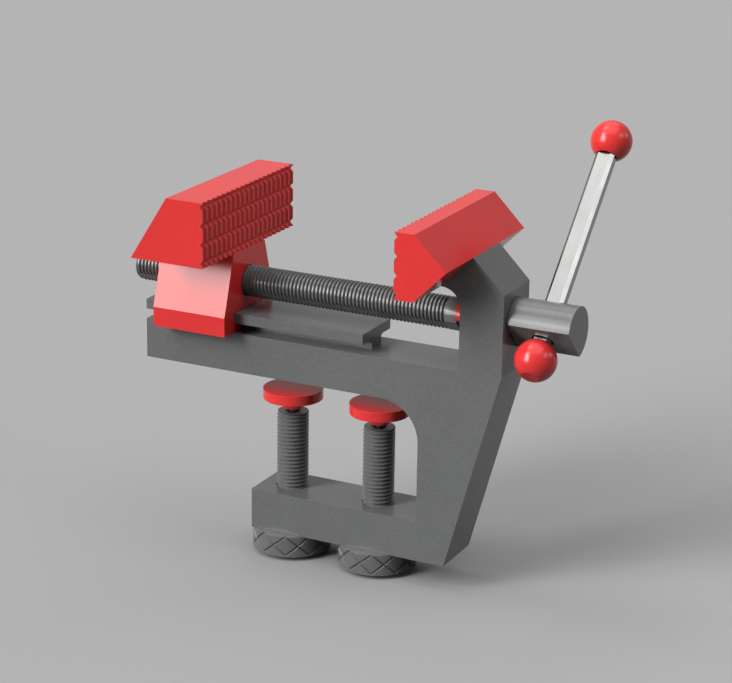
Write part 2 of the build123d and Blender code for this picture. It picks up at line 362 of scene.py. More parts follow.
def merged_copy(node):
    """A CAD node's mesh with its loose triangles joined and its flat faces made whole."""
    mesh = frame["nodes"][node].data.copy()
    mesh.name = node + "_copy"
    with opened(mesh) as shell:
        bmesh.ops.remove_doubles(shell, verts=shell.verts, dist=SAME_POINT)
        bmesh.ops.dissolve_limit(
            shell, angle_limit=FLAT_TURN, verts=shell.verts, edges=shell.edges, delimit=set()
        )
    return mesh


def evaluated_mesh(piece):
    """The plain mesh that a piece's modifiers give."""
    graph = bpy.context.evaluated_depsgraph_get()
    result = piece.evaluated_get(graph)
    return bpy.data.meshes.new_from_object(result, preserve_all_data_layers=True, depsgraph=graph)


def mark_edges(shell, facet_turn):
    """Makes a bmesh smooth except at the edges that turn more than its facets."""
    for face in shell.faces:
        face.smooth = True
    for edge in shell.edges:
        edge.smooth = edge.calc_face_angle(0) < facet_turn


def flat_and_round(mesh):
    """The mesh with round faces smooth, flat faces truly flat, and every true edge left sharp."""
    with opened(mesh) as shell:
        mark_edges(shell, FACET_TURN)
    for attribute in [a for a in mesh.attributes if a.name == "custom_normal"]:
        mesh.attributes.remove(attribute)
    maker = bpy.data.objects.new("shade_maker", mesh)
    bpy.context.scene.collection.objects.link(maker)
    weighted = maker.modifiers.new("flat faces first", "WEIGHTED_NORMAL")
    weighted.mode = "FACE_AREA"
    weighted.keep_sharp = True
    made = evaluated_mesh(maker)
    bpy.data.objects.remove(maker)
    return made


def open_edges(shell):
    """The edges of a bmesh that have a face on one side only."""
    return [edge for edge in shell.edges if edge.is_boundary]


def rim(shell, height):
    """The open edges of a bmesh that lie level at a height."""
    return [
        edge for edge in open_edges(shell)
        if all(abs(vert.co.z - height) < SAME_HEIGHT for vert in edge.verts)
    ]


def closed(mesh, facet_turn):
    """Joins a built mesh's doubled points, fills its holes, turns its faces outwards and shades them."""
    with opened(mesh) as shell:
        bmesh.ops.remove_doubles(shell, verts=shell.verts, dist=SAME_POINT)
        bmesh.ops.dissolve_degenerate(shell, edges=shell.edges, dist=NO_LENGTH)
        holes = open_edges(shell)
        if holes:
            bmesh.ops.holes_fill(shell, edges=holes, sides=0)
        bmesh.ops.recalc_face_normals(shell, faces=shell.faces)
        mark_edges(shell, facet_turn)


def cut(shell, point, normal, trim):
    """Cuts a bmesh along a plane, and with trim takes off what lies on the normal's side."""
    bmesh.ops.bisect_plane(
        shell, geom=shell.verts[:] + shell.edges[:] + shell.faces[:], dist=NO_LENGTH,
        plane_co=point, plane_no=normal, clear_outer=trim,
    )


def lathe(shell, profile, steps):
    """Adds a turned skin round Z to a bmesh: profile is (radius, height), and a radius of 0 closes it."""
    angles = [math.tau * i / steps for i in range(steps)]
    rings = []
    for radius, height in profile:
        spots = [(radius * math.cos(a), radius * math.sin(a), height) for a in angles]
        rings.append([shell.verts.new(spot) for spot in (spots if radius else spots[:1])])
    for low, high in zip(rings, rings[1:]):
        for i in range(steps):
            j = (i + 1) % steps
            if len(low) == 1:
                shell.faces.new((low[0], high[i], high[j]))
            elif len(high) == 1:
                shell.faces.new((low[i], low[j], high[0]))
            else:
                shell.faces.new((low[i], low[j], high[j], high[i]))


def towards(azimuth, elevation):
    """The way to an azimuth, counted from the front towards the handle, and an elevation."""
    level = math.cos(elevation)
    return Vector((math.sin(azimuth) * level, -math.cos(azimuth) * level, math.sin(elevation)))


# ---------------------------------------------------------------- materials

# A noise texture's values lie mostly between these two.
NOISE_LOW, NOISE_HIGH = 0.3, 0.7


def bare_material(name):
    """A new material with nothing in its node tree."""
    material = bpy.data.materials.new(name)
    material.use_nodes = True
    material.node_tree.nodes.clear()
    return material


def abs_moulded(name, colour, roughness, grain, contrast, edge_radius):
    """ABS, moulded and satin: a fine grain breaks up the reflections, and the colour is even."""
    found = bpy.data.materials.get(name)
    if found:
        return found
    material = bare_material(name)
    tree = material.node_tree
    flow_width, flow_tint, flow_dulling = 0.03, 0.03, 0.03
    place = add(tree, "ShaderNodeTexCoord")
    # The grain of a moulded surface is about 0.1 mm. It is drawn coarser, so that it shows in a picture.
    fine = add(tree, "ShaderNodeTexNoise", {
        "Vector": place.outputs["Object"], "Scale": 1 / grain, "Detail": 3.0, "Roughness": 0.65,
    })
    # Flow marks from the mould's filling are a few centimetres wide.
    flow = add(tree, "ShaderNodeTexNoise", {
        "Vector": place.outputs["Object"], "Scale": 1 / flow_width, "Detail": 2.0, "Roughness": 0.5,
    })
    speck = add(tree, "ShaderNodeMapRange", {
        "Value": fine.outputs["Fac"], "From Min": NOISE_LOW, "From Max": NOISE_HIGH,
        "To Min": 1 - contrast, "To Max": 1 + contrast,
    })
    drift = add(tree, "ShaderNodeMapRange", {
        "Value": flow.outputs["Fac"], "From Min": NOISE_LOW, "From Max": NOISE_HIGH,
        "To Min": 1 - flow_tint, "To Max": 1 + flow_tint,
    })
    shade = add(tree, "ShaderNodeMath", {
        0: speck.outputs["Result"], 1: drift.outputs["Result"],
    }, operation="MULTIPLY")
    tint = add(tree, "ShaderNodeVectorMath", {0: colour[:3], "Scale": shade.outputs[0]}, operation="SCALE")
    satin = add(tree, "ShaderNodeMapRange", {
        "Value": flow.outputs["Fac"], "From Min": NOISE_LOW, "From Max": NOISE_HIGH,
        "To Min": roughness - flow_dulling, "To Max": roughness + flow_dulling,
    })
    edge = add(tree, "ShaderNodeBevel", {"Radius": edge_radius}, samples=4)
    bump = add(tree, "ShaderNodeBump", {
        "Strength": 0.12, "Distance": 0.00004, "Height": fine.outputs["Fac"],
        "Normal": edge.outputs["Normal"],
    })
    shader = add(tree, "ShaderNodeBsdfPrincipled", {
        "Base Color": tint.outputs["Vector"], "Roughness": satin.outputs["Result"], "IOR": 1.44,
        "Normal": bump.outputs["Normal"],
    })
    add(tree, "ShaderNodeOutputMaterial", {"Surface": shader.outputs["BSDF"]})
    return material


def steel(name, colour, roughness, turn, mark_size):
    """Steel, ground or turned: fine marks run one way and draw its highlights out across them."""
    found = bpy.data.materials.get(name)
    if found:
        return found
    material = bare_material(name)
    tree = material.node_tree
    # turn lines the marks up with the piece, and mark_size is a mark's size along each axis, in metres.
    smear_width, smear_dulling = 0.012, 0.04
    darkest, lightest = 0.93, 1.05
    place = add(tree, "ShaderNodeTexCoord")
    turned = add(tree, "ShaderNodeMapping", {
        "Vector": place.outputs["Object"], "Rotation": turn,
    }, vector_type="TEXTURE")
    stretched = add(tree, "ShaderNodeMapping", {
        "Vector": turned.outputs["Vector"], "Scale": tuple(1 / size for size in mark_size),
    })
    scratch = add(tree, "ShaderNodeTexNoise", {
        "Vector": stretched.outputs["Vector"], "Scale": 1.0, "Detail": 4.0, "Roughness": 0.6,
    })
    smear = add(tree, "ShaderNodeTexNoise", {
        "Vector": place.outputs["Object"], "Scale": 1 / smear_width, "Detail": 2.0, "Roughness": 0.5,
    })
    shade = add(tree, "ShaderNodeMapRange", {
        "Value": scratch.outputs["Fac"], "From Min": NOISE_LOW, "From Max": NOISE_HIGH,
        "To Min": darkest, "To Max": lightest,
    })
    tint = add(tree, "ShaderNodeVectorMath", {
        0: colour[:3], "Scale": shade.outputs["Result"],
    }, operation="SCALE")
    dull = add(tree, "ShaderNodeMapRange", {
        "Value": smear.outputs["Fac"], "From Min": NOISE_LOW, "From Max": NOISE_HIGH,
        "To Min": roughness - smear_dulling, "To Max": roughness + smear_dulling,
    })
    bump = add(tree, "ShaderNodeBump", {
        "Strength": 0.15, "Distance": 0.00002, "Height": scratch.outputs["Fac"],
    })
    shader = add(tree, "ShaderNodeBsdfPrincipled", {
        "Base Color": tint.outputs["Vector"], "Metallic": 1.0, "Roughness": dull.outputs["Result"],
        "Normal": bump.outputs["Normal"],
    })
    add(tree, "ShaderNodeOutputMaterial", {"Surface": shader.outputs["BSDF"]})
    return material


def grey_abs():
    """The grey mouldings: a touch duller and more speckled than the red ones."""
    finish, sizes = bpy.context.scene.vise_finishes, bpy.context.scene.vise_sizes
    duller, contrast = 0.01, 0.14
    return abs_moulded(
        "grey_abs_moulded", tuple(finish.grey_abs), finish.gloss + duller, finish.grain, contrast,
        sizes.moulded_edge,
    )


def red_abs():
    """The red mouldings."""
    finish, sizes = bpy.context.scene.vise_finishes, bpy.context.scene.vise_sizes
    contrast = 0.08
    return abs_moulded(
        "red_abs_moulded", tuple(finish.red_abs), finish.gloss, finish.grain, contrast, sizes.moulded_edge
    )


def ground_bar_steel():
    """The handle bar. Its grinding marks run along it, about 0.2 mm apart and 20 mm long."""
    finish, sizes = bpy.context.scene.vise_finishes, bpy.context.scene.vise_sizes
    along_bar, mark_size = (-sizes.handle_tilt, 0, 0), (0.0002, 0.0002, 0.02)
    return steel(
        "ground_steel_bar", tuple(finish.ground_steel), finish.bar_roughness, along_bar, mark_size
    )


def turned_pin_steel():
    """Studs and dowels. Their turning marks run round them, about 0.1 mm apart."""
    finish = bpy.context.scene.vise_finishes
    upright, mark_size = (0, 0, 0), (0.004, 0.004, 0.0001)
    return steel(
        "turned_steel_pin", tuple(finish.turned_steel), finish.pin_roughness, upright, mark_size
    )


# ---------------------------------------------------------------- geometry nodes


def thread_tree():
    """Geometry nodes: a right-hand thread round Z, with open, flat ends."""
    found = bpy.data.node_groups.get("helical_thread")
    if found:
        return found
    tree = bpy.data.node_groups.new("helical_thread", "GeometryNodeTree")
    face = tree.interface
    for label, kind in (
        ("Length", "NodeSocketFloat"),
        ("Pitch", "NodeSocketFloat"),
        ("Crest Radius", "NodeSocketFloat"),
        ("Depth", "NodeSocketFloat"),
        ("Crest Share", "NodeSocketFloat"),
        ("Root Share", "NodeSocketFloat"),
        ("Steps Around", "NodeSocketInt"),
        ("Lead In", "NodeSocketFloat"),
        ("Lead Out", "NodeSocketFloat"),
        ("Run Out", "NodeSocketFloat"),
        ("Material", "NodeSocketMaterial"),
    ):
        face.new_socket(label, in_out="INPUT", socket_type=kind)
    face.new_socket("Geometry", in_out="OUTPUT", socket_type="NodeSocketGeometry")
    given = add(tree, "NodeGroupInput").outputs
    length, pitch, steps = given["Length"], given["Pitch"], given["Steps Around"]
    crest, depth = given["Crest Radius"], given["Depth"]
    crest_share, root_share = given["Crest Share"], given["Root Share"]
    math_node = "ShaderNodeMath"
    # The profile of one turn has four corners: both ends of its crest, and of its root.
    corners = 4
    corner_count = float(corners)

    # The share of a pitch that one flank takes, and where its crest ends.
    flats = add(tree, math_node, {0: crest_share, 1: root_share}, operation="ADD").outputs[0]
    sides = add(tree, math_node, {0: 1.0, 1: flats}, operation="SUBTRACT").outputs[0]
    flank = add(tree, math_node, {0: sides, 1: 2.0}, operation="DIVIDE").outputs[0]
    crest_end = add(tree, math_node, {0: flank, 1: crest_share}, operation="ADD").outputs[0]
    ridge_end = add(tree, math_node, {0: crest_end, 1: flank}, operation="ADD").outputs[0]

    # A grid: one row for each corner of the profile in each turn, and one column for each step round.
    turns = add(tree, math_node, {0: length, 1: pitch}, operation="DIVIDE").outputs[0]
    whole = add(tree, math_node, {0: turns}, operation="CEIL").outputs[0]
    spare = add(tree, math_node, {0: whole, 1: 2.0}, operation="ADD").outputs[0]
    row_span = add(tree, math_node, {0: spare, 1: corner_count}, operation="MULTIPLY").outputs[0]
    rows = add(tree, math_node, {0: row_span, 1: 1.0}, operation="ADD").outputs[0]
    columns = add(tree, math_node, {0: steps, 1: 1.0}, operation="ADD").outputs[0]
    grid = add(tree, "GeometryNodeMeshGrid", {
        "Size X": row_span, "Size Y": steps, "Vertices X": rows, "Vertices Y": columns,
    })
    position = add(tree, "GeometryNodeInputPosition").outputs[0]
    spot = add(tree, "ShaderNodeSeparateXYZ", {0: position}).outputs
    row_from_mid = add(tree, math_node, {0: row_span, 1: 0.5}, operation="MULTIPLY").outputs[0]
    row_exact = add(tree, math_node, {0: spot["X"], 1: row_from_mid}, operation="ADD").outputs[0]
    row = add(tree, math_node, {0: row_exact}, operation="ROUND").outputs[0]
    column_from_mid = add(tree, math_node, {0: steps, 1: 0.5}, operation="MULTIPLY").outputs[0]
    column_exact = add(tree, math_node, {0: spot["Y"], 1: column_from_mid}, operation="ADD").outputs[0]
    column = add(tree, math_node, {0: column_exact}, operation="ROUND").outputs[0]

    # Where the row's corner lies in its own turn, as a share of the pitch.
    turn_exact = add(tree, math_node, {0: row, 1: corner_count}, operation="DIVIDE").outputs[0]
    turn = add(tree, math_node, {0: turn_exact}, operation="FLOOR").outputs[0]
    corner_share = add(tree, math_node, {0: turn_exact, 1: turn}, operation="SUBTRACT").outputs[0]
    corner_exact = add(tree, math_node, {0: corner_share, 1: corner_count}, operation="MULTIPLY").outputs[0]
    corner = add(tree, math_node, {0: corner_exact}, operation="ROUND").outputs[0]
    place = add(tree, "GeometryNodeIndexSwitch", data_type="FLOAT")
    for _ in range(corners - len(place.index_switch_items)):
        place.index_switch_items.new()
    tree.links.new(corner, place.inputs["Index"])
    place.inputs["0"].default_value = 0.0
    for label, value in (("1", flank), ("2", crest_end), ("3", ridge_end)):
        tree.links.new(value, place.inputs[label])
    start = add(tree, math_node, {0: turn, 1: 1.0}, operation="SUBTRACT").outputs[0]
    height = add(tree, math_node, {0: start, 1: place.outputs[0]}, operation="ADD").outputs[0]

    # The column leads the row up by its share of a turn. Past either end a point stays on the end plane.
    around = add(tree, math_node, {0: column, 1: steps}, operation="DIVIDE").outputs[0]
    climbed = add(tree, math_node, {0: height, 1: around}, operation="ADD").outputs[0]
    free_z = add(tree, math_node, {0: climbed, 1: pitch}, operation="MULTIPLY").outputs[0]
    low_z = add(tree, math_node, {0: free_z, 1: 0.0}, operation="MAXIMUM").outputs[0]
    z = add(tree, math_node, {0: low_z, 1: length}, operation="MINIMUM").outputs[0]

    # The profile's height at that place: up one flank, along the crest, down the other, along the root.
    z_turns = add(tree, math_node, {0: z, 1: pitch}, operation="DIVIDE").outputs[0]
    unwound = add(tree, math_node, {0: z_turns, 1: around}, operation="SUBTRACT").outputs[0]
    phase = add(tree, math_node, {0: unwound}, operation="FRACT").outputs[0]
    falling = add(tree, math_node, {0: ridge_end, 1: phase}, operation="SUBTRACT").outputs[0]
    nearer = add(tree, math_node, {0: phase, 1: falling}, operation="MINIMUM").outputs[0]
    ridge = add(tree, math_node, {0: nearer, 1: flank}, operation="DIVIDE", use_clamp=True).outputs[0]
    end_gap = add(tree, math_node, {0: length, 1: z}, operation="SUBTRACT").outputs[0]
    fade_exact = add(tree, math_node, {0: end_gap, 1: given["Run Out"]}, operation="DIVIDE").outputs[0]
    fade = add(tree, math_node, {0: 1.0, 1: fade_exact}, operation="SUBTRACT", use_clamp=True).outputs[0]
    filled = add(tree, math_node, {0: ridge, 1: fade}, operation="MAXIMUM").outputs[0]
    rise = add(tree, math_node, {0: filled, 1: depth}, operation="MULTIPLY").outputs[0]
    root = add(tree, math_node, {0: crest, 1: depth}, operation="SUBTRACT").outputs[0]
    full = add(tree, math_node, {0: root, 1: rise}, operation="ADD").outputs[0]

    # Chamfers at 45 degrees: the lead in at the low end and the lead out at the high end.
    in_base = add(tree, math_node, {0: crest, 1: given["Lead In"]}, operation="SUBTRACT").outputs[0]
    in_cone = add(tree, math_node, {0: in_base, 1: z}, operation="ADD").outputs[0]
    out_base = add(tree, math_node, {0: crest, 1: given["Lead Out"]}, operation="SUBTRACT").outputs[0]
    out_cone = add(tree, math_node, {0: out_base, 1: end_gap}, operation="ADD").outputs[0]
    cone = add(tree, math_node, {0: in_cone, 1: out_cone}, operation="MINIMUM").outputs[0]
    radius = add(tree, math_node, {0: full, 1: cone}, operation="MINIMUM").outputs[0]

    angle = add(tree, math_node, {0: around, 1: math.tau}, operation="MULTIPLY").outputs[0]
    cosine = add(tree, math_node, {0: angle}, operation="COSINE").outputs[0]
    sine = add(tree, math_node, {0: angle}, operation="SINE").outputs[0]
    x = add(tree, math_node, {0: radius, 1: cosine}, operation="MULTIPLY").outputs[0]
    y = add(tree, math_node, {0: radius, 1: sine}, operation="MULTIPLY").outputs[0]
    point = add(tree, "ShaderNodeCombineXYZ", {"X": x, "Y": y, "Z": z})
    wound = add(tree, "GeometryNodeSetPosition", {
        "Geometry": grid.outputs["Mesh"], "Position": point.outputs[0],
    })
    joined = add(tree, "GeometryNodeMergeByDistance", {
        "Geometry": wound.outputs[0], "Distance": SAME_POINT,
    })
    real = add(tree, "GeometryNodeRealizeInstances", {0: joined.outputs[0]})
    coated = add(tree, "GeometryNodeSetMaterial", {
        "Geometry": real.outputs[0], "Material": given["Material"],
    })
    add(tree, "NodeGroupOutput", {"Geometry": coated.outputs[0]})
    return tree


def thread_mesh(name, length, lead_in, lead_out, run_out, material):
    """The plain mesh of a thread along +Z from 0, as the thread tree makes it."""
    sizes = bpy.context.scene.vise_sizes
    tree = thread_tree()
    maker = bpy.data.objects.new(name + "_maker", bpy.data.meshes.new(name))
    bpy.context.scene.collection.objects.link(maker)
    winding = maker.modifiers.new("thread", "NODES")
    winding.node_group = tree
    values = {
        "Length": length, "Pitch": sizes.pitch, "Crest Radius": sizes.thread_radius,
        "Depth": sizes.thread_depth, "Crest Share": sizes.crest_width / sizes.pitch,
        "Root Share": sizes.root_width / sizes.pitch, "Steps Around": sizes.steps_around,
        "Lead In": lead_in, "Lead Out": lead_out, "Run Out": run_out, "Material": material,
    }
    for socket in tree.interface.items_tree:
        if socket.item_type == "SOCKET" and socket.in_out == "INPUT":
            winding[socket.identifier] = values[socket.name]
    made = evaluated_mesh(maker)
    bpy.data.objects.remove(maker)
    return made


# ---------------------------------------------------------------- pieces


class VISE_OT_frame(bpy.types.Operator):
    """Finishes the C-shaped frame with its rail"""

    bl_idname = "vise.frame"
    bl_label = "Frame"

    def execute(self, context):
        finished_node("c_frame", "_moulding", grey_abs())
        return {"FINISHED"}


class VISE_OT_jaws(bpy.types.Operator):
    """Finishes both jaws, the slider under the moving jaw, and the dowels that hold the jaws"""

    bl_idname = "vise.jaws"
    bl_label = "Jaws"

    def execute(self, context):
        for name in ("jaw_slider", "fixed_jaw", "moving_jaw"):
            finished_node(name, "_moulding", red_abs())
        for jaw in ("fixed", "moving"):
            for place in ("front", "back"):
                finished_node(f"{jaw}_jaw_dowel_{place}", "_turned", turned_pin_steel())
        return {"FINISHED"}


class VISE_OT_lead_screw(bpy.types.Operator):
    """Builds the lead screw: a helical thread with a flat along it, then the shank and head"""

    bl_idname = "vise.lead_screw"
    bl_label = "Lead Screw"

    def execute(self, context):
        sizes = context.scene.vise_sizes
        length = sizes.shank_start - SCREW_START
        lead_out = 0
        mesh = thread_mesh(
            "lead_screw_thread", length, sizes.thread_depth, lead_out, sizes.run_out, grey_abs()
        )
        closed(mesh, THREAD_FACET_TURN)
        onto_x = Matrix.Rotation(math.radians(90), 4, "Y")
        mesh.transform(Matrix.Translation((SCREW_START, 0, sizes.screw_height)) @ onto_x)
        tilt = sizes.handle_tilt
        flat_out = Vector((0, -math.sin(tilt), -math.cos(tilt)))
        flat_at = Vector((0, 0, sizes.screw_height)) + flat_out * sizes.flat_distance
        self.planed(mesh, flat_at, flat_out)
        # The shank and head keep the CAD's own shape from where the thread ends.
        head = merged_copy("lead_screw")
        self.planed(head, Vector((sizes.shank_start, 0, 0)), Vector((-1, 0, 0)))
        with opened(mesh) as both:
            both.from_mesh(head)
        named_piece("lead_screw", "_threaded", flat_and_round(mesh), grey_abs())
        return {"FINISHED"}

    def planed(self, mesh, point, outward):
        """Takes off what lies past a plane and closes the cut."""
        with opened(mesh) as shell:
            cut(shell, point, outward, trim=True)
            bmesh.ops.holes_fill(shell, edges=open_edges(shell), sides=0)


class VISE_OT_retaining_clip(bpy.types.Operator):
    """Finishes the C-shaped clip that holds the lead screw in the frame"""

    bl_idname = "vise.retaining_clip"
    bl_label = "Retaining Clip"

    def execute(self, context):
        finished_node("retaining_clip", "_moulding", red_abs())
        return {"FINISHED"}


class VISE_OT_handle(bpy.types.Operator):
    """Finishes the sliding handle: its steel bar and the two balls"""

    bl_idname = "vise.handle"
    bl_label = "Handle"

    def execute(self, context):
        finished_node("handle_bar", "_ground", ground_bar_steel())
        for place in ("upper", "lower"):
            finished_node("handle_ball_" + place, "_moulding", red_abs())
        return {"FINISHED"}


class VISE_OT_pressure_pads(bpy.types.Operator):
    """Finishes the pads that press on the table from below, and their ball studs"""

    bl_idname = "vise.pressure_pads"
    bl_label = "Pressure Pads"

    def execute(self, context):
        for side in SIDES:
            finished_node("pressure_pad_" + side, "_moulding", red_abs())
            finished_node("swivel_stud_" + side, "_turned", turned_pin_steel())
        return {"FINISHED"}


class VISE_OT_clamp_screws(bpy.types.Operator):
    """Builds the two clamp screws: helical threads with a socket on top and a spigot below"""

    bl_idname = "vise.clamp_screws"
    bl_label = "Clamp Screws"

    def execute(self, context):
        sizes = context.scene.vise_sizes
        low, top = KNOB_HIGH.z, sizes.rod_top
        # The groove keeps its depth up to the top, because it ends in next to no length.
        run_out = 1e-6
        socket = self.socket_profile(sizes, top)
        spigot = [
            (0, ROD_LOW.z), (sizes.spigot_radius, ROD_LOW.z), (sizes.spigot_radius, low),
            (sizes.thread_radius - sizes.thread_depth, low),
        ]
        for side in SIDES:
            name = "clamp_screw_" + side
            mesh = thread_mesh(name, top - low, sizes.thread_depth, sizes.rod_chamfer, run_out, grey_abs())
            mesh.transform(Matrix.Translation((0, 0, low)))
            with opened(mesh) as shell:
                lathe(shell, socket, sizes.steps_around)
                lathe(shell, spigot, sizes.steps_around)
            closed(mesh, THREAD_FACET_TURN)
            mesh.transform(Matrix.Translation((axis_of(name), 0, 0)))
            named_piece(name, "_threaded", mesh, grey_abs())
        return {"FINISHED"}

    def socket_profile(self, sizes, top):
        """From the top face's edge down the countersink to the bottom of the round socket."""
        profile = [
            (sizes.thread_radius - sizes.rod_chamfer, top), (sizes.socket_flare, top),
            (sizes.socket_mouth, top - sizes.flare_depth),
        ]
        bowl_steps = 8
        ball_z = top - sizes.socket_drop
        throat = math.asin(sizes.socket_mouth / sizes.socket_radius)
        for i in range(bowl_steps + 1):
            angle = throat + (math.pi - throat) * i / bowl_steps
            radius = 0 if i == bowl_steps else sizes.socket_radius * math.sin(angle)
            profile.append((radius, ball_z + sizes.socket_radius * math.cos(angle)))
        return profile


class VISE_OT_clamp_knobs(bpy.types.Operator):
    """Builds the knobs that turn the clamp screws, with slanted grooves that cross"""

    bl_idname = "vise.clamp_knobs"
    bl_label = "Clamp Knobs"

    def execute(self, context):
        sizes = context.scene.vise_sizes
        hub_low, high = KNOB_LOW.z, KNOB_HIGH.z
        low = hub_low + sizes.knob_hub_height
        radius = (KNOB_HIGH.x - KNOB_LOW.x) / 2
        chamfer = sizes.knob_chamfer
        hub = [
            (0, hub_low), (sizes.knob_hub_radius - chamfer, hub_low),
            (sizes.knob_hub_radius, hub_low + chamfer), (sizes.knob_hub_radius, low),
        ]
        bore = [(sizes.spigot_radius, high), (sizes.spigot_radius, ROD_LOW.z), (0, ROD_LOW.z)]
        for side in SIDES:
            name = "clamp_knob_" + side
            mesh = bpy.data.meshes.new(name)
            with opened(mesh) as shell:
                self.add_diamonds(shell, sizes, radius, low + sizes.knob_lattice_rise)
                self.trim(shell, sizes, radius, low, high)
                for start, end, middle in ((low + chamfer, low, hub), (high - chamfer, high, bore)):
                    self.add_rim(shell, start, end, radius - chamfer)
                    lathe(shell, middle, sizes.steps_around)
                    bmesh.ops.bridge_loops(shell, edges=rim(shell, end))
            closed(mesh, KNOB_FACET_TURN)
            mesh.transform(Matrix.Translation((axis_of(name), 0, 0)))
            named_piece(name, "_moulding", mesh, grey_abs())
        return {"FINISHED"}

    def add_diamonds(self, shell, sizes, radius, lattice_low):
        """The side of a knob, in slanted cells whose borders are the middles of the grooves."""
        count = sizes.knob_grooves
        wide, tall = math.tau * radius / count, sizes.knob_lattice_height
        slant = tall / math.hypot(tall, wide)
        half = sizes.knob_groove_half / (wide * slant)
        land_steps = 4
        land = [half + (1 - 2 * half) * k / land_steps for k in range(land_steps + 1)]
        cuts = [0.0] + land + [1.0]
        # Rounds of cells, each half a diamond over the last, from under the knob's bottom to over its top.
        rounds = (-1, 0, 1, 2)
        for i in range(count):
            for j in rounds:
                grid = []
                for across in cuts:
                    for along in cuts:
                        rising, falling = i + across, i + j + along
                        off_groove = min(across, 1 - across, along, 1 - along) / half
                        here = radius - sizes.knob_groove_depth * max(0.0, 1 - off_groove)
                        angle = math.tau * (rising + falling) / 2 / count
                        z = lattice_low + tall * (falling - rising) / 2
                        grid.append(shell.verts.new((here * math.cos(angle), here * math.sin(angle), z)))
                for a in range(len(cuts) - 1):
                    for b in range(len(cuts) - 1):
                        k = a * len(cuts) + b
                        m = k + len(cuts)
                        shell.faces.new((grid[k], grid[m], grid[m + 1], grid[k + 1]))
        bmesh.ops.remove_doubles(shell, verts=shell.verts, dist=SAME_POINT)

    def trim(self, shell, sizes, radius, low, high):
        """Cuts the side to the knob's height, and stops its grooves at the lowest crossings."""
        lattice_low = low + sizes.knob_lattice_rise
        plain_below = lattice_low - sizes.knob_groove_half / 4
        down, up = (0, 0, -1), (0, 0, 1)
        cut(shell, (0, 0, low + sizes.knob_chamfer), down, trim=True)
        cut(shell, (0, 0, plain_below), up, trim=False)
        cut(shell, (0, 0, lattice_low), up, trim=False)
        cut(shell, (0, 0, high - sizes.knob_chamfer), up, trim=True)
        for vert in shell.verts:
            if vert.co.z < plain_below + SAME_HEIGHT:
                vert.co.xy = vert.co.xy.normalized() * radius

    def add_rim(self, shell, start, end, most):
        """A chamfer from the open edge at one height to another, no wider there than a given radius."""
        grown = bmesh.ops.extrude_edge_only(shell, edges=rim(shell, start))
        for vert in (v for v in grown["geom"] if isinstance(v, bmesh.types.BMVert)):
            vert.co.xy = vert.co.xy.normalized() * min(most, vert.co.xy.length)
            vert.co.z = end


# ---------------------------------------------------------------- stage

# Soft light panels. For each: azimuth from the front, elevation, half width and half height, all in
# degrees, and then strength.
LIGHT_PANELS = {
    "key, low": (-31.5, 19, 11, 12.5, 12.6),
    "key, middle": (-36, 31, 10, 7, 9.0),
    "key, high": (-41, 41, 9, 9, 9.0),
    "left": (-90, 62, 10, 8, 4.0),
    "top": (10, 82, 30, 26, 1.5),
    "back": (200, 55, 20, 12, 1.4),
    "right": (89, 35, 12, 9, 2.7),
    "right, behind": (124, 22, 9, 8, 2.4),
}
# The share of a panel's half size, either way from its edge, over which its light fades.
PANEL_SOFTNESS = 0.25
# The floor reaches this far from the object each way, in metres, which hides its edge.
FLOOR_REACH = 40.0


def seen_directly(tree):
    """1 where the camera, a reflection or a clear body shows what is behind, 0 for light on the object."""
    ray = add(tree, "ShaderNodeLightPath").outputs
    shown = ray["Is Camera Ray"]
    for kind in ("Is Glossy Ray", "Is Transmission Ray"):
        shown = add(tree, "ShaderNodeMath", {0: shown, 1: ray[kind]}, operation="MAXIMUM").outputs[0]
    return shown


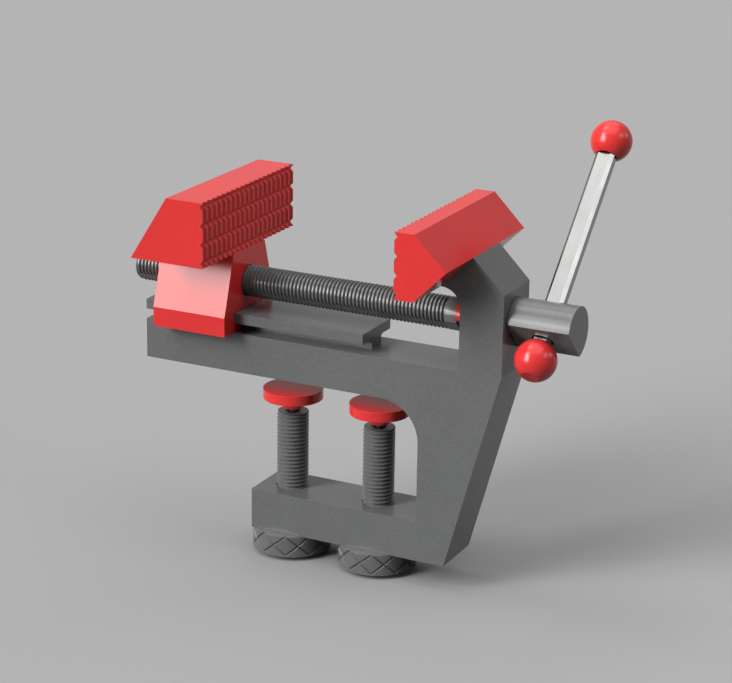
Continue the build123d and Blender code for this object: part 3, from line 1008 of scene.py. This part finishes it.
class VISE_OT_stage(bpy.types.Operator):
    """Makes the floor, the light of the room with its soft panels, and the camera"""

    bl_idname = "vise.stage"
    bl_label = "Stage"

    def execute(self, context):
        stage = context.scene.vise_stage
        self.make_floor(context.scene, stage)
        self.make_light(context.scene, stage)
        self.make_camera(context.scene, stage)
        context.scene.view_settings.view_transform = "Standard"
        return {"FINISHED"}

    def make_floor(self, scene, stage):
        """Painted board: plain and matt. Little of its light comes back up to the object."""
        mesh = bpy.data.meshes.new("studio_floor")
        corners = [
            (-FLOOR_REACH, -FLOOR_REACH, FLOOR_Z), (FLOOR_REACH, -FLOOR_REACH, FLOOR_Z),
            (FLOOR_REACH, FLOOR_REACH, FLOOR_Z), (-FLOOR_REACH, FLOOR_REACH, FLOOR_Z),
        ]
        mesh.from_pydata(corners, [], [(0, 1, 2, 3)])
        floor = bpy.data.objects.new("studio_floor", mesh)
        scene.collection.objects.link(floor)
        material = bare_material("painted_board_floor")
        tree = material.node_tree
        seen = add(tree, "ShaderNodeMix", {
            "Factor": seen_directly(tree), "A": tuple(stage.floor_bounce), "B": tuple(stage.floor),
        }, data_type="RGBA")
        paint = add(tree, "ShaderNodeBsdfDiffuse", {"Color": seen.outputs[2]})
        add(tree, "ShaderNodeOutputMaterial", {"Surface": paint.outputs[0]})
        mesh.materials.append(material)

    def panel_glow(self, tree, place, panel, panel_level):
        """The light that one soft panel sends from each place on the sky."""
        *angles, strength = panel
        azimuth, elevation, half_wide, half_high = (math.radians(angle) for angle in angles)
        ahead = towards(azimuth, elevation)
        across = Vector((math.cos(azimuth), math.sin(azimuth), 0.0))
        # A place is in front of a panel's middle plane by more than this, or it gets none of its light.
        grazing = 0.001
        depth = add(
            tree, "ShaderNodeVectorMath", {0: place, 1: ahead}, operation="DOT_PRODUCT"
        ).outputs["Value"]
        front = add(tree, "ShaderNodeMath", {0: depth, 1: grazing}, operation="MAXIMUM").outputs[0]
        glow = panel_level * strength
        for axis, half in ((across, half_wide), (across.cross(ahead), half_high)):
            dot = add(
                tree, "ShaderNodeVectorMath", {0: place, 1: axis}, operation="DOT_PRODUCT"
            ).outputs["Value"]
            ratio = add(tree, "ShaderNodeMath", {0: dot, 1: front}, operation="DIVIDE").outputs[0]
            far = add(tree, "ShaderNodeMath", {0: ratio}, operation="ABSOLUTE").outputs[0]
            edge = math.tan(half)
            mask = add(tree, "ShaderNodeMapRange", {
                "Value": far, "To Min": 1.0, "To Max": 0.0,
                "From Min": edge * (1 - PANEL_SOFTNESS), "From Max": edge * (1 + PANEL_SOFTNESS),
            }, interpolation_type="SMOOTHSTEP").outputs["Result"]
            glow = add(tree, "ShaderNodeMath", {0: mask, 1: glow}, operation="MULTIPLY").outputs[0]
        faced = add(tree, "ShaderNodeMath", {0: depth, 1: grazing}, operation="GREATER_THAN").outputs[0]
        return add(tree, "ShaderNodeMath", {0: glow, 1: faced}, operation="MULTIPLY").outputs[0]

    def make_light(self, scene, stage):
        """The room's plain light, and soft panels that every ray but the camera's sees."""
        world = bpy.data.worlds.new("studio_room")
        scene.world = world
        world.use_nodes = True
        tree = world.node_tree
        tree.nodes.clear()
        place = add(tree, "ShaderNodeTexCoord").outputs["Generated"]
        total = 0.0
        for panel in LIGHT_PANELS.values():
            glow = self.panel_glow(tree, place, panel, stage.panel_level)
            total = add(tree, "ShaderNodeMath", {0: total, 1: glow}, operation="ADD").outputs[0]
        camera = add(tree, "ShaderNodeLightPath").outputs["Is Camera Ray"]
        unseen = add(tree, "ShaderNodeMath", {0: 1.0, 1: camera}, operation="SUBTRACT").outputs[0]
        lit = add(tree, "ShaderNodeMath", {0: total, 1: unseen}, operation="MULTIPLY").outputs[0]
        plain_room = add(tree, "ShaderNodeMix", {
            "Factor": seen_directly(tree), "A": tuple(stage.room), "B": tuple(stage.backdrop),
        }, data_type="RGBA")
        room = add(tree, "ShaderNodeBackground", {"Color": plain_room.outputs[2], "Strength": 1.0})
        panels = add(tree, "ShaderNodeBackground", {"Color": (1, 1, 1, 1), "Strength": lit})
        both = add(tree, "ShaderNodeAddShader", {0: room.outputs[0], 1: panels.outputs[0]})
        add(tree, "ShaderNodeOutputWorld", {"Surface": both.outputs[0]})

    def make_camera(self, scene, stage):
        """The camera, at the photograph's viewing angle."""
        back = towards(stage.azimuth, stage.elevation)
        level = Vector((math.cos(stage.azimuth), math.sin(stage.azimuth), 0.0))
        upright = back.cross(level)
        right = level * math.cos(stage.roll) + upright * math.sin(stage.roll)
        up = upright * math.cos(stage.roll) - level * math.sin(stage.roll)
        data = bpy.data.cameras.new("photo_camera")
        data.sensor_width = 36.0
        data.lens = stage.lens
        camera = bpy.data.objects.new("photo_camera", data)
        scene.collection.objects.link(camera)
        place = Vector(stage.target) + back * stage.distance
        camera.matrix_world = Matrix.Translation(place) @ Matrix((right, up, back)).transposed().to_4x4()
        scene.camera = camera


# ---------------------------------------------------------------- panel and registration

PIECES = (
    VISE_OT_frame,
    VISE_OT_jaws,
    VISE_OT_lead_screw,
    VISE_OT_retaining_clip,
    VISE_OT_handle,
    VISE_OT_pressure_pads,
    VISE_OT_clamp_screws,
    VISE_OT_clamp_knobs,
    VISE_OT_stage,
)


class VISE_PT_sidebar(bpy.types.Panel):
    """Lists the pieces of the vise and their settings"""

    bl_idname = "VISE_PT_sidebar"
    bl_label = "Table Clamp Vise"
    bl_space_type = "VIEW_3D"
    bl_region_type = "UI"
    bl_category = "Vise"

    def draw(self, context):
        layout = self.layout
        for piece in PIECES:
            layout.operator(piece.bl_idname, text=piece.bl_label)
        for group in (context.scene.vise_sizes, context.scene.vise_finishes, context.scene.vise_stage):
            box = layout.box()
            for key in group.__annotations__:
                box.prop(group, key)


CLASSES = (ViseSizes, ViseFinishes, ViseStage) + PIECES + (VISE_PT_sidebar,)


def register():
    for cls in CLASSES:
        bpy.utils.register_class(cls)
    bpy.types.Scene.vise_sizes = PointerProperty(type=ViseSizes)
    bpy.types.Scene.vise_finishes = PointerProperty(type=ViseFinishes)
    bpy.types.Scene.vise_stage = PointerProperty(type=ViseStage)


def unregister():
    del bpy.types.Scene.vise_stage
    del bpy.types.Scene.vise_finishes
    del bpy.types.Scene.vise_sizes
    for cls in reversed(CLASSES):
        bpy.utils.unregister_class(cls)


def main():
    register()
    bpy.ops.vise.frame()
    bpy.ops.vise.jaws()
    bpy.ops.vise.lead_screw()
    bpy.ops.vise.retaining_clip()
    bpy.ops.vise.handle()
    bpy.ops.vise.pressure_pads()
    bpy.ops.vise.clamp_screws()
    bpy.ops.vise.clamp_knobs()
    bpy.ops.vise.stage()


if __name__ == "__main__":
    main()
